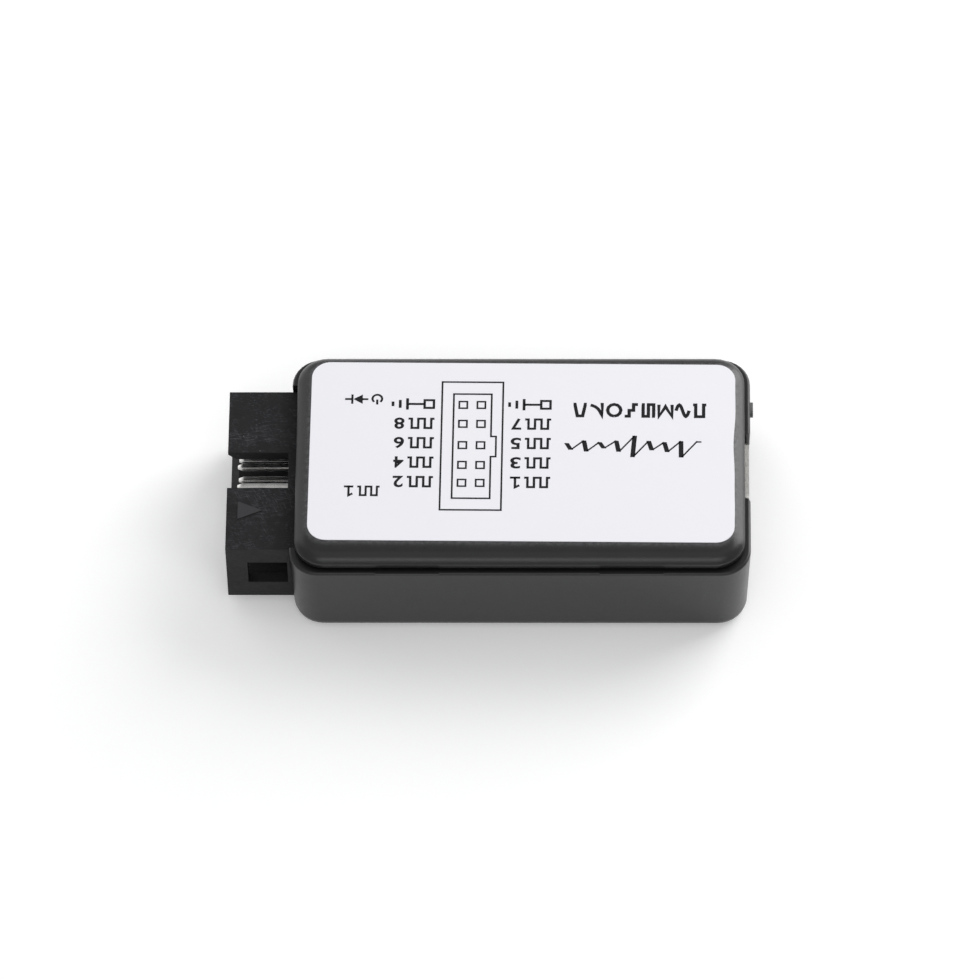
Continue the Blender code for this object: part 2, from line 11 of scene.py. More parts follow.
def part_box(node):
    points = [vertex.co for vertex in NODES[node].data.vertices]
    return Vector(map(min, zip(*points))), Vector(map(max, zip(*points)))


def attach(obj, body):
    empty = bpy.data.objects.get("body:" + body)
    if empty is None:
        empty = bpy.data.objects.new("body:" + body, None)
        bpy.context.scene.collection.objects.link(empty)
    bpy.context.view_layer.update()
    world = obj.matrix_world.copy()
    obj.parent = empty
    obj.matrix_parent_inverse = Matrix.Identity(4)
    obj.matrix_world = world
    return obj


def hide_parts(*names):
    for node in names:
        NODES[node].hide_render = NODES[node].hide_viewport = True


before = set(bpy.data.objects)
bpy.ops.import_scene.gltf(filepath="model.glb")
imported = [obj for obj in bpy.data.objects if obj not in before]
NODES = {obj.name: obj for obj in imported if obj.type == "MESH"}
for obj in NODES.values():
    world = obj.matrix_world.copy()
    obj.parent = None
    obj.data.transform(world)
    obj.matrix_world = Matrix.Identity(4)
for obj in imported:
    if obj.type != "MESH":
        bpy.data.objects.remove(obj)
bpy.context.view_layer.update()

MM = 0.001
BOARD_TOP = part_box("circuit_board")[1].z
HEADER_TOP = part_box("header_housing")[1].z
LABEL_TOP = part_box("label")[1].z
CASE_LOW, CASE_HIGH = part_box("lower_shell")
GATE_NUB = 0.3 * MM
CASE_X = (CASE_LOW.x + CASE_HIGH.x - GATE_NUB) / 2

# Camera
CAMERA_ELEVATION = math.radians(56.665)
CAMERA_AZIMUTH = math.radians(1.840)
CAMERA_ROLL = math.radians(-1.513)
CAMERA_DISTANCE = 1.02496
CAMERA_TARGET = Vector((-0.073, -0.279, 7.0)) * MM
CAMERA_LENS = 348.917
SENSOR = 36.0

# Light: (azimuth, elevation, distance, width, height, radiance)
SOFTBOXES = {
    "overhead": (0.0, 86.0, 0.75, 0.60, 0.46, 0.3),
    "front": (5.0, 49.0, 0.80, 0.60, 0.24, 1.9),
    "right": (132.0, 26.0, 0.60, 0.46, 0.56, 3.8),
    "left": (230.0, 26.0, 0.60, 0.46, 0.56, 0.7),
}
SKY = (0.985, 0.99, 1.0)
SKY_STRENGTH = 0.475
FLOOR_GLOW = 0.2
FLOOR_HALF = 3.0
FLOOR_DROP = 0.02 * MM

# Label
LABEL_LENGTH = 45.7 * MM
LABEL_WIDTH = 22.9 * MM
LABEL_CORNER = 2.0 * MM
LABEL_OFF_CENTRE = Vector((0.2, 0.62, 0.0)) * MM
LABEL_TWIST = math.radians(-0.45)
LABEL_WAVE = 0.07 * MM
INK_HEIGHT = 0.012 * MM
INK_SUNK = 0.002 * MM

# Print, in the millimetres of someone reading it: x to the right, y up, from its middle
FRAME_MIDDLE = (5.44, -0.72)
FRAME_SIZE = (6.57, 16.48)
POCKET_MIDDLE = (5.42, -0.69)
POCKET_SIZE = (4.08, 13.43)
NOTCH_DEPTH = 0.55
NOTCH_HEIGHT = 2.6
NOTCH_RAISED = 0.05
PAD_COLUMNS = (4.48, 6.43)
PAD_ROWS = (-6.0, -3.55, -0.8, 1.75, 4.05)
PAD_SIZE = 0.86
HAIRLINE = 0.19
CHANNEL_START = {1: -3.07, 2: 9.5}
CHANNEL_FIRST_ROW = 3.94
CHANNEL_PITCH = 2.505
CHANNEL_HEIGHT = 1.46
DIGIT_WIDTH = 1.1
DIGIT_GAP = 0.42
PULSE_LENGTH = 2.8
LETTER_STROKE = 0.26
LAMP_MARKS_X = 15.2

# Board: the pitch of the pins, and how far pads and print reach into it
PIN_PITCH = 2.54 * MM
BUFFER_PITCH = 0.65 * MM
CONTROLLER_PITCH = 0.5 * MM
CONTROLLER_PADS = 14
SUNK = 0.01 * MM


# ---------------------------------------------------------------- materials


class Surface:
    """A Principled material built up from textures in the object's own coordinates."""

    def __init__(self, name, colour, roughness, metallic=0.0, **sockets):
        self.material = bpy.data.materials.new(name)
        self.material.use_nodes = True
        self.tree = self.material.node_tree
        self.shader = self.tree.nodes["Principled BSDF"]
        self.colour = (*colour, 1.0)
        self.shader.inputs["Base Color"].default_value = self.colour
        self.shader.inputs["Roughness"].default_value = roughness
        self.shader.inputs["Metallic"].default_value = metallic
        for socket, value in sockets.items():
            self.shader.inputs[socket.replace("_", " ")].default_value = value
        self.place = self.add("ShaderNodeTexCoord").outputs["Object"]
        self.relief = None

    def add(self, kind, values=None, **settings):
        """A new node. Each value is a number to set or another node's output to link."""
        node = self.tree.nodes.new(kind)
        for key, value in settings.items():
            setattr(node, key, value)
        for socket, value in (values or {}).items():
            if isinstance(value, bpy.types.NodeSocket):
                self.tree.links.new(value, node.inputs[socket])
            else:
                node.inputs[socket].default_value = value
        return node

    def stretched(self, stretch, turn):
        """Coordinates in which a pattern is drawn out along each axis, then turned about Z."""
        if stretch == (1, 1, 1):
            return self.place
        scale = tuple(1 / share for share in stretch)
        values = {"Vector": self.place, "Scale": scale, "Rotation": (0.0, 0.0, turn)}
        return self.add("ShaderNodeMapping", values, vector_type="TEXTURE").outputs[0]

    def noise(self, size, detail=3.0, stretch=(1, 1, 1), turn=0.0):
        """Cloudy noise from 0 to 1 whose patches are about one size across."""
        values = {"Vector": self.stretched(stretch, turn), "Scale": 1 / size, "Detail": detail}
        return self.add("ShaderNodeTexNoise", values).outputs[0]

    def cells(self, size, stretch=(1, 1, 1)):
        """Distance to the nearest of scattered points that are about one size apart."""
        values = {"Vector": self.stretched(stretch, 0.0), "Scale": 1 / size}
        return self.add("ShaderNodeTexVoronoi", values, feature="F1").outputs["Distance"]

    def ramp(self, value, start, end, low=0.0, high=1.0):
        """From low at start to high at end, and level beyond both."""
        values = {"Value": value, "From Min": start, "From Max": end, "To Min": low, "To Max": high}
        return self.add("ShaderNodeMapRange", values).outputs[0]

    def times(self, a, b):
        """The product of two factors."""
        return self.add("ShaderNodeMath", {0: a, 1: b}, operation="MULTIPLY").outputs[0]

    def upward(self):
        """1 on faces that look up or down, 0 on upright ones."""
        normal = self.add("ShaderNodeNewGeometry").outputs["Normal"]
        axes = self.add("ShaderNodeSeparateXYZ", {0: normal})
        level = self.add("ShaderNodeMath", {0: axes.outputs["Z"]}, operation="ABSOLUTE")
        return self.ramp(level.outputs[0], 0.4, 0.6)

    def tint(self, factor, colour):
        """Blend the base colour towards another where the factor is high."""
        base = self.shader.inputs["Base Color"]
        before = base.links[0].from_socket if base.links else self.colour
        values = {0: factor, 6: before, 7: (*colour, 1.0)}
        node = self.add("ShaderNodeMix", values, data_type="RGBA")
        self.tree.links.new(node.outputs[2], base)
        return self

    def rough(self, factor, low, high):
        """Let the roughness follow a factor between two values."""
        self.tree.links.new(self.ramp(factor, 0.25, 0.75, low, high), self.shader.inputs["Roughness"])
        return self

    def bump(self, height, depth):
        """Add relief of this depth over what is there already."""
        values = {"Height": height, "Distance": depth}
        if self.relief:
            values["Normal"] = self.relief
        self.relief = self.add("ShaderNodeBump", values).outputs[0]
        self.tree.links.new(self.relief, self.shader.inputs["Normal"])
        return self


def scratches(surface, turn, width, density, slimness=0.012):
    """Thin broken lines that all run about one way."""
    lines = surface.noise(width, 1.0, (1, slimness, slimness), turn)
    breaks = surface.noise(3.0 * MM, 2.0)
    return surface.times(surface.ramp(lines, density, density + 0.06), surface.ramp(breaks, 0.5, 0.62))


def dust(surface, spacing, radius):
    """Small pale specks in some of the cells."""
    spot = surface.ramp(surface.cells(spacing), radius / spacing, 1.6 * radius / spacing, 1.0, 0.0)
    return surface.times(spot, surface.ramp(surface.noise(4.0 * spacing, 1.0), 0.52, 0.6))


def beside_label(surface, reach):
    """1 at the label's edge, falling to 0 at the reach outside it."""
    corner = LABEL_CORNER
    spot = Vector((CASE_X, 0.0, 0.0)) + LABEL_OFF_CENTRE
    values = {"Vector": surface.place, "Location": spot, "Rotation": (0.0, 0.0, LABEL_TWIST)}
    local = surface.add("ShaderNodeMapping", values, vector_type="TEXTURE").outputs[0]
    inner = (LABEL_LENGTH / 2 - corner, LABEL_WIDTH / 2 - corner, 1.0)
    for operation, values in (
        ("ABSOLUTE", {0: local}),
        ("SUBTRACT", {1: inner}),
        ("MAXIMUM", {1: (0.0, 0.0, 0.0)}),
        ("LENGTH", {}),
    ):
        node = surface.add("ShaderNodeVectorMath", {0: local, **values}, operation=operation)
        local = node.outputs["Value" if operation == "LENGTH" else "Vector"]
    near = surface.ramp(local, corner, corner + reach, 1.0, 0.0)
    heights = surface.add("ShaderNodeSeparateXYZ", {0: surface.place}).outputs["Z"]
    return surface.times(near, surface.ramp(heights, LABEL_TOP - 0.9 * MM, LABEL_TOP - 0.6 * MM))


def moulded_black():
    """Satin black ABS: a fine spark-eroded grain, faint flow clouds, hairline scuffs, dust.

    Lint has gathered along the label's edge, and a painted glow lightens the plastic beside it.
    """
    surface = Surface("case_abs", (0.0075, 0.0074, 0.0081), 0.3)
    grain = surface.noise(0.11 * MM, 4.0)
    clouds = surface.noise(4.5 * MM, 3.0)
    surface.tint(surface.ramp(clouds, 0.35, 0.75, 0.0, 0.45), (0.0115, 0.0113, 0.012))
    surface.tint(surface.ramp(scratches(surface, 0.5, 0.05 * MM, 0.66), 0, 1, 0, 0.14), (0.08, 0.08, 0.085))
    surface.tint(surface.times(dust(surface, 1.5 * MM, 0.035 * MM), 0.5), (0.28, 0.28, 0.27))
    near = beside_label(surface, 1.0 * MM)
    # Painted glow: for about a millimetre beside the white label's edge the plastic is lightened unevenly,
    # as if lit by the label.
    glow_unevenness = surface.ramp(surface.noise(0.5 * MM, 4.0), 0.3, 0.6, 0.35, 1.0)
    label_glow = surface.times(surface.times(near, near), glow_unevenness)
    surface.tint(surface.times(label_glow, near), (0.12, 0.12, 0.124))
    lint = surface.times(surface.ramp(surface.noise(0.1 * MM, 2.0), 0.62, 0.7), near)
    surface.tint(surface.times(lint, 0.5), (0.25, 0.25, 0.25))
    surface.rough(surface.noise(0.6 * MM, 4.0), 0.27, 0.34)
    surface.bump(clouds, 0.006 * MM)
    surface.bump(grain, 0.012 * MM)
    return surface.material


def header_nylon():
    """Matte glass-filled nylon. Its top face is rubbed, nicked and dusty, and the arrow shines."""
    surface = Surface("header_nylon", (0.0135, 0.0135, 0.0145), 0.5, Specular_IOR_Level=0.16)
    heights = surface.add("ShaderNodeSeparateXYZ", {0: surface.place}).outputs["Z"]
    high_up = surface.ramp(heights, HEADER_TOP - 0.7 * MM, HEADER_TOP - 0.5 * MM)
    top = surface.times(surface.upward(), high_up)
    patches = surface.times(top, surface.ramp(surface.noise(2.4 * MM, 3.0), 0.4, 0.66))
    surface.tint(surface.ramp(surface.noise(1.6 * MM, 4.0), 0.35, 0.7, 0.0, 0.6), (0.02, 0.02, 0.0215))
    nicks = surface.ramp(surface.noise(0.13 * MM, 2.0, (0.45, 1, 1)), 0.56, 0.68)
    surface.tint(surface.times(surface.times(nicks, patches), 0.55), (0.085, 0.088, 0.1))
    for turn in (1.5, 1.75, 0.5):
        lines = surface.times(scratches(surface, turn, 0.055 * MM, 0.62, 0.05), top)
        surface.tint(surface.times(lines, 0.45), (0.1, 0.1, 0.11))
    surface.tint(surface.times(dust(surface, 1.1 * MM, 0.04 * MM), 0.6), (0.28, 0.28, 0.27))
    raised = surface.ramp(heights, HEADER_TOP - 0.04 * MM, HEADER_TOP - 0.02 * MM, 0.0, 0.85)
    surface.tint(raised, (0.05, 0.05, 0.053))
    surface.rough(surface.noise(0.5 * MM, 4.0), 0.44, 0.6)
    surface.bump(surface.noise(0.16 * MM, 5.0), 0.02 * MM)
    return surface.material


def label_film():
    """Cool white polyester with a faint mottle and a soft sheen."""
    surface = Surface("label_polyester", (0.9, 0.895, 0.935), 0.42, Specular_IOR_Level=0.3)
    surface.tint(surface.ramp(surface.noise(5.0 * MM, 3.0), 0.3, 0.7, 0.0, 0.35), (0.885, 0.883, 0.925))
    surface.tint(surface.times(dust(surface, 2.6 * MM, 0.03 * MM), 0.35), (0.45, 0.45, 0.47))
    surface.rough(surface.noise(1.4 * MM, 3.0), 0.38, 0.5)
    surface.bump(surface.noise(2.5 * MM, 2.0), 0.008 * MM)
    surface.bump(surface.noise(0.09 * MM, 2.0), 0.0012 * MM)
    return surface.material


def ink():
    """Toner: near black, a little uneven."""
    surface = Surface("toner", (0.012, 0.012, 0.014), 0.5, Specular_IOR_Level=0.15)
    surface.tint(surface.ramp(surface.noise(0.16 * MM, 3.0), 0.5, 0.8, 0.0, 0.5), (0.05, 0.05, 0.055))
    surface.bump(surface.noise(0.08 * MM, 3.0), 0.003 * MM)
    return surface.material


def plated(name, colour, roughness, draw_marks=(1, 1, 1), stain=(0.4, 0.39, 0.37)):
    """Plated metal with fine drawing marks and slight tarnish."""
    surface = Surface(name, colour, roughness, 1.0)
    surface.tint(surface.ramp(surface.noise(1.1 * MM, 4.0), 0.5, 0.8, 0.0, 0.4), stain)
    marks = surface.noise(0.04 * MM, 3.0, draw_marks)
    surface.rough(marks, roughness * 0.75, roughness * 1.45)
    surface.bump(marks, 0.0035 * MM)
    return surface.material


def solder_mask():
    """Blue solder mask over a glass weave, and bare laminate on the cut edges."""
    surface = Surface("solder_mask", (0.006, 0.035, 0.19), 0.24, Specular_IOR_Level=0.55)
    surface.tint(surface.ramp(surface.noise(6.0 * MM, 2.0), 0.3, 0.7, 0.0, 0.6), (0.005, 0.028, 0.15))
    sides = surface.add("ShaderNodeMath", {0: 1.0, 1: surface.upward()}, operation="SUBTRACT").outputs[0]
    surface.tint(sides, (0.3, 0.27, 0.12))
    weave = surface.cells(0.42 * MM, stretch=(1, 1, 0.3))
    surface.rough(surface.noise(0.8 * MM, 3.0), 0.2, 0.32)
    surface.bump(weave, 0.006 * MM)
    return surface.material


def copper_under_mask():
    """Tracks seen through the mask, lighter than the board round them."""
    surface = Surface("masked_copper", (0.012, 0.075, 0.3), 0.26, Specular_IOR_Level=0.55)
    surface.tint(surface.noise(1.2 * MM, 2.0), (0.009, 0.06, 0.25))
    surface.bump(surface.noise(0.2 * MM, 2.0), 0.003 * MM)
    return surface.material


def silk_ink():
    """White screen print, thin in places."""
    surface = Surface("silk_ink", (0.72, 0.72, 0.7), 0.6)
    surface.tint(surface.ramp(surface.noise(0.12 * MM, 3.0), 0.5, 0.8, 0.0, 0.5), (0.35, 0.4, 0.5))
    surface.bump(surface.noise(0.07 * MM, 3.0), 0.004 * MM)
    return surface.material


def epoxy(name, colour, roughness=0.55, size=0.06 * MM):
    """Moulded or fired material with a fine gritty surface."""
    surface = Surface(name, colour, roughness, Specular_IOR_Level=0.4)
    lighter = tuple(min(1.0, 1.35 * c + 0.004) for c in colour)
    surface.tint(surface.ramp(surface.noise(0.9 * MM, 4.0), 0.4, 0.75, 0.0, 0.7), lighter)
    surface.rough(surface.noise(0.3 * MM, 3.0), roughness - 0.09, roughness + 0.09)
    surface.bump(surface.noise(size, 3.0), 0.008 * MM)
    return surface.material


def clear_lens(name, colour, glow):
    """Tinted resin, faintly lit from the die beneath."""
    surface = Surface(name, colour, 0.16, Coat_Weight=0.4)
    surface.shader.inputs["Emission Color"].default_value = (*colour, 1.0)
    surface.shader.inputs["Emission Strength"].default_value = glow
    surface.tint(surface.ramp(surface.noise(0.5 * MM, 2.0), 0.35, 0.7), tuple(c * 0.75 for c in colour))
    surface.bump(surface.noise(0.25 * MM, 2.0), 0.004 * MM)
    return surface.material


CASE_PLASTIC = moulded_black()
HEADER_PLASTIC = header_nylon()
LABEL_FILM = label_film()
INK = ink()
TIN = plated("tin_plate", (0.8, 0.79, 0.77), 0.24, (0.03, 1, 1))
SOLDER = plated("solder", (0.72, 0.72, 0.71), 0.2)
NICKEL = plated("nickel_plate", (0.66, 0.65, 0.62), 0.27, (1, 0.05, 1), (0.42, 0.4, 0.36))
CAN_STEEL = plated("can_steel", (0.6, 0.6, 0.58), 0.3, (0.04, 1, 1))
GOLD = plated("gold_plate", (0.84, 0.61, 0.25), 0.22, (0.05, 1, 1), (0.6, 0.4, 0.16))
SOLDER_MASK = solder_mask()
MASKED_COPPER = copper_under_mask()
SILK = silk_ink()
CHIP_RESIN = epoxy("chip_epoxy", (0.018, 0.018, 0.019))
CHIP_MARK = epoxy("chip_mark", (0.06, 0.06, 0.062), 0.4)
SOCKET_PLASTIC = epoxy("socket_lcp", (0.016, 0.016, 0.017), 0.5)
ALUMINA = epoxy("alumina", (0.68, 0.67, 0.63), 0.5)
RESISTOR_GLAZE = epoxy("resistor_glaze", (0.02, 0.02, 0.024), 0.3)
CAPACITOR_CERAMIC = epoxy("capacitor_ceramic_body", (0.36, 0.25, 0.15), 0.5)
TANTALUM = epoxy("tantalum_body", (0.62, 0.36, 0.05), 0.5)
FUSE_GREEN = epoxy("fuse_body", (0.02, 0.2, 0.07), 0.42)
RED_LENS = clear_lens("red_lens", (0.7, 0.09, 0.06), 0.12)
GREEN_LENS = clear_lens("green_lens", (0.2, 0.62, 0.24), 0.1)


# ---------------------------------------------------------------- meshes


def smooth_group():
    """A node group that marks every face smooth, for meshes whose own data stays as it is."""
    group = bpy.data.node_groups.new("shade_smooth", "GeometryNodeTree")
    group.interface.new_socket("Geometry", in_out="INPUT", socket_type="NodeSocketGeometry")
    group.interface.new_socket("Geometry", in_out="OUTPUT", socket_type="NodeSocketGeometry")
    start = group.nodes.new("NodeGroupInput")
    smooth = group.nodes.new("GeometryNodeSetShadeSmooth")
    end = group.nodes.new("NodeGroupOutput")
    group.links.new(start.outputs[0], smooth.inputs["Geometry"])
    group.links.new(smooth.outputs[0], end.inputs[0])
    return group


SMOOTH = smooth_group()


def soften(thing, width, segments=2, angle=33.0):
    """Round the sharp edges a little and shade the flat faces flat."""
    smooth = thing.modifiers.new("smooth", "NODES")
    smooth.node_group = SMOOTH
    rounding = thing.modifiers.new("edges", "BEVEL")
    rounding.limit_method = "ANGLE"
    rounding.angle_limit = math.radians(angle)
    rounding.width = width
    rounding.segments = segments
    rounding.use_clamp_overlap = True
    normals = thing.modifiers.new("normals", "WEIGHTED_NORMAL")
    normals.keep_sharp = True


def refine(node, material, width, segments=2):
    """Give a CAD node its material and small edge roundings. Its own mesh isn't touched."""
    thing = NODES[node]
    thing.data.materials[0] = material
    weld = thing.modifiers.new("weld", "WELD")
    weld.merge_threshold = 1e-6
    flat = thing.modifiers.new("flat", "DECIMATE")
    flat.decimate_type = "DISSOLVE"
    flat.angle_limit = math.radians(0.4)
    soften(thing, width, segments)


def add_piece(name, bm, material, body, width=0.0, replaces=()):
    """Link a finished bmesh as a piece of the object."""
    bmesh.ops.recalc_face_normals(bm, faces=bm.faces)
    mesh = bpy.data.meshes.new(name)
    bm.to_mesh(mesh)
    bm.free()
    mesh.materials.append(material)
    thing = bpy.data.objects.new(name, mesh)
    bpy.context.scene.collection.objects.link(thing)
    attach(thing, body)
    if replaces:
        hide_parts(*replaces)
    if width:
        soften(thing, width)
    return thing


def add_block(bm, low, high, taper=0.0):
    """A box between two corners. Its top is smaller by the taper on every side."""
    low, high = Vector(low), Vector(high)
    middle = (low + high) / 2
    made = bmesh.ops.create_cube(bm, size=1.0)["verts"]
    bmesh.ops.scale(bm, vec=high - low, verts=made)
    bmesh.ops.translate(bm, vec=middle, verts=made)
    for vert in made:
        if vert.co.z > middle.z:
            vert.co.x -= math.copysign(taper, vert.co.x - middle.x)
            vert.co.y -= math.copysign(taper, vert.co.y - middle.y)


def add_prism(bm, outline, low, high, placing=Matrix()):
    """A flat outline given thickness along Z, then placed."""
    rings = []
    for z in (low, high):
        rings.append([bm.verts.new(placing @ Vector((x, y, z))) for x, y in outline])
    count = len(outline)
    bm.faces.new(rings[0])
    bm.faces.new(rings[1])
    for i in range(count):
        j = (i + 1) % count
        bm.faces.new((rings[0][i], rings[0][j], rings[1][j], rings[1][i]))


def mitres(points, closed):
    """At each point of a path, the sideways vector that keeps the ribbon's width even."""
    found = []
    count = len(points)
    for i, point in enumerate(points):
        before = points[i - 1] if i or closed else None
        after = points[(i + 1) % count] if i < count - 1 or closed else None
        along = []
        if before is not None:
            along.append((point - before).normalized())
        if after is not None:
            along.append((after - point).normalized())
        sides = [Vector((-d.y, d.x)) for d in along]
        side = sum(sides, Vector((0.0, 0.0))).normalized()
        found.append(side / max(0.4, side.dot(sides[0])))
    return found


def add_ribbon(bm, path, width, low, high, placing=Matrix(), closed=False):
    """A line of even width along a flat path, with thickness along Z, closed all round."""
    points = [Vector(p) for p in path]
    rings = []
    for point, side in zip(points, mitres(points, closed)):
        corners = (point + side * width / 2, point - side * width / 2)
        section = [Vector((*corners[k], z)) for k, z in ((0, low), (1, low), (1, high), (0, high))]
        rings.append([bm.verts.new(placing @ corner) for corner in section])
    links = list(zip(rings, rings[1:]))
    if closed:
        links.append((rings[-1], rings[0]))
    else:
        bm.faces.new(rings[0])
        bm.faces.new(rings[-1])
    for a, b in links:
        for k in range(4):
            bm.faces.new((a[k], a[(k + 1) % 4], b[(k + 1) % 4], b[k]))


def arc(centre, radius, start, end, steps):
    """Points along an arc, angles in degrees."""
    angles = [math.radians(start + (end - start) * i / steps) for i in range(steps + 1)]
    return [(centre[0] + radius * math.cos(a), centre[1] + radius * math.sin(a)) for a in angles]


def rounded_path(points, radius, steps=4):
    """A path whose inner corners are rounded."""
    points = [Vector(p) for p in points]
    path = [points[0]]
    for before, corner, after in zip(points, points[1:], points[2:]):
        start = corner + (before - corner).normalized() * radius
        end = corner + (after - corner).normalized() * radius
        for i in range(steps + 1):
            t = i / steps
            path.append(start.lerp(corner, t).lerp(corner.lerp(end, t), t))
    path.append(points[-1])
    return path


def standing(side, lie, origin):
    """A placing whose X runs along side, its Y upwards and its Z along lie."""
    up = Vector((0.0, 0.0, 1.0))
    rows = [(side[k], up[k], lie[k], origin[k]) for k in range(3)]
    return Matrix((*rows, (0.0, 0.0, 0.0, 1.0)))


def rectangle(middle, size):
    """The four corners of an upright rectangle."""
    x, y = middle
    w, h = size[0] / 2, size[1] / 2
    return [(x - w, y - h), (x + w, y - h), (x + w, y + h), (x - w, y + h)]


# ---------------------------------------------------------------- label and its print


def label_placing(height):
    """From the label's own plane to the case: it is stuck on a little askew."""
    place = LABEL_OFF_CENTRE + Vector((CASE_X, 0.0, height))
    return Matrix.Translation(place) @ Matrix.Rotation(LABEL_TWIST, 4, "Z")


def reading():
    """From the print's millimetres to the label: upside down as seen from -Y."""
    turned = Matrix.Rotation(math.pi, 4, "Z")
    return label_placing(LABEL_TOP) @ turned @ Matrix.Scale(MM, 4)


def build_label():
    """The hand-cut label sheet: its right-hand edge wavers."""
    x, y, r = LABEL_LENGTH / 2, LABEL_WIDTH / 2, LABEL_CORNER
    outline = []
    for start, cx, cy in ((0, x - r, y - r), (90, r - x, y - r), (180, r - x, r - y), (270, x - r, r - y)):
        outline += arc((cx, cy), r, start, start + 90, 10)
    steps = 24
    for i in range(1, steps):
        t = i / steps
        fade = math.sin(math.pi * t)
        wave = math.sin(9.0 * t) + 0.6 * math.sin(17.0 * t + 1.0) - 0.8 * fade
        outline.append((x + LABEL_WAVE * wave * fade, (r - y) * (1 - t) + (y - r) * t))
    bm = bmesh.new()
    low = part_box("label")[0].z
    add_prism(bm, outline, 0.0, LABEL_TOP - low, label_placing(low))
    add_piece("label_film", bm, LABEL_FILM, "cover", 0.03 * MM, ("label",))


def ink_line(bm, path, width=LETTER_STROKE, closed=False):
    """A printed line, given in the reader's millimetres."""
    add_ribbon(bm, path, width, -INK_SUNK / MM, INK_HEIGHT / MM, reading(), closed)


def ink_shape(bm, outline):
    """A printed shape, filled, given in the reader's millimetres."""
    add_prism(bm, outline, -INK_SUNK / MM, INK_HEIGHT / MM, reading())


def ink_digit(bm, number, x, middle, height):
    """A plain bold digit that starts at x."""
    width = DIGIT_WIDTH * height / CHANNEL_HEIGHT
    low = middle - height / 2
    if number == 1:
        stroke = LETTER_STROKE * height / CHANNEL_HEIGHT
        stem = x + width / 2
        flag = (x + 0.08, low + 0.76 * height)
        ink_line(bm, [flag, (stem, middle + height / 2 - stroke / 3), (stem, low)], stroke)
        ink_line(bm, [(x, low + stroke / 2), (x + width, low + stroke / 2)], stroke)
        return
    text = bpy.data.curves.new("digit", "FONT")
    text.body = str(number)
    text.offset = 0.022
    text.extrude = INK_HEIGHT / MM / 2
    text.resolution_u = 5
    guide = bpy.data.objects.new("digit", text)
    bpy.context.scene.collection.objects.link(guide)
    bpy.context.view_layer.update()
    mesh = bpy.data.meshes.new_from_object(guide.evaluated_get(bpy.context.evaluated_depsgraph_get()))
    left, right = min(v.co.x for v in mesh.vertices), max(v.co.x for v in mesh.vertices)
    foot, crown = min(v.co.y for v in mesh.vertices), max(v.co.y for v in mesh.vertices)
    size = Matrix.Diagonal((width / (right - left), height / (crown - foot), 1.0, 1.0))
    place = Matrix.Translation((x, low, INK_HEIGHT / MM / 2 - 0.001))
    origin = Matrix.Translation((-left, -foot, 0.0))
    mesh.transform(reading() @ place @ size @ origin)
    bm.from_mesh(mesh)
    bmesh.ops.remove_doubles(bm, verts=bm.verts, dist=1e-9)
    bpy.data.objects.remove(guide)
    bpy.data.curves.remove(text)
    bpy.data.meshes.remove(mesh)


def build_header_diagram():
    """The socket as seen from the front: shroud, pocket with its key, ten pads."""
    bm = bmesh.new()
    ink_line(bm, rectangle(FRAME_MIDDLE, FRAME_SIZE), HAIRLINE, True)
    pocket = rectangle(POCKET_MIDDLE, POCKET_SIZE)
    left = pocket[0][0]
    half = NOTCH_HEIGHT / 2
    middle = POCKET_MIDDLE[1] + NOTCH_RAISED
    notch = [(left, middle + half), (left - NOTCH_DEPTH, middle + half)]
    notch += [(left - NOTCH_DEPTH, middle - half), (left, middle - half)]
    ink_line(bm, pocket + notch, HAIRLINE, True)
    for x in PAD_COLUMNS:
        for y in PAD_ROWS:
            ink_line(bm, rectangle((x, y), (PAD_SIZE, PAD_SIZE)), HAIRLINE, True)
    add_piece("print_header_diagram", bm, INK, "cover")


def pulse_mark(bm, x, middle, length, height, stroke=LETTER_STROKE):
    """Two square pulses."""
    low, high = middle - height / 2 + stroke / 2, middle + height / 2 - stroke / 2
    levels = (low, high, low, high, low)
    steps = [x + length * share for share in (0.0, 0.12, 0.37, 0.62, 0.87, 1.0)]
    path = []
    for level, start, end in zip(levels, steps, steps[1:]):
        path += [(start, level), (end, level)]
    ink_line(bm, path, stroke)


def ground_mark(bm, x, middle):
    """A pin whose lead ends in three bars, each shorter than the last."""
    margin, pin, lead, spacing, stroke = 0.1, 1.0, 2.95, 0.78, 0.3
    ink_line(bm, rectangle((x + pin / 2 + margin, middle), (pin, pin)), LETTER_STROKE, True)
    ink_line(bm, [(x + pin + margin, middle), (x + lead, middle)])
    for number in range(3):
        bar = x + lead + spacing * number
        half = CHANNEL_HEIGHT / 2 * (1 - 0.3 * number)
        ink_line(bm, [(bar, middle - half), (bar, middle + half)], stroke)


def build_channel_marks():
    """Odd channels left of the diagram, even ones right of it, and ground under each column."""
    for side, start in CHANNEL_START.items():
        bm = bmesh.new()
        for row in range(4):
            middle = CHANNEL_FIRST_ROW - CHANNEL_PITCH * row
            pulse_mark(bm, start, middle, PULSE_LENGTH, CHANNEL_HEIGHT)
            digit_x = start + PULSE_LENGTH + DIGIT_GAP
            ink_digit(bm, side + 2 * row, digit_x, middle, CHANNEL_HEIGHT)
        ground_mark(bm, start, CHANNEL_FIRST_ROW - CHANNEL_PITCH * 4)
        add_piece(f"print_channels_{'odd' if side == 1 else 'even'}", bm, INK, "cover")


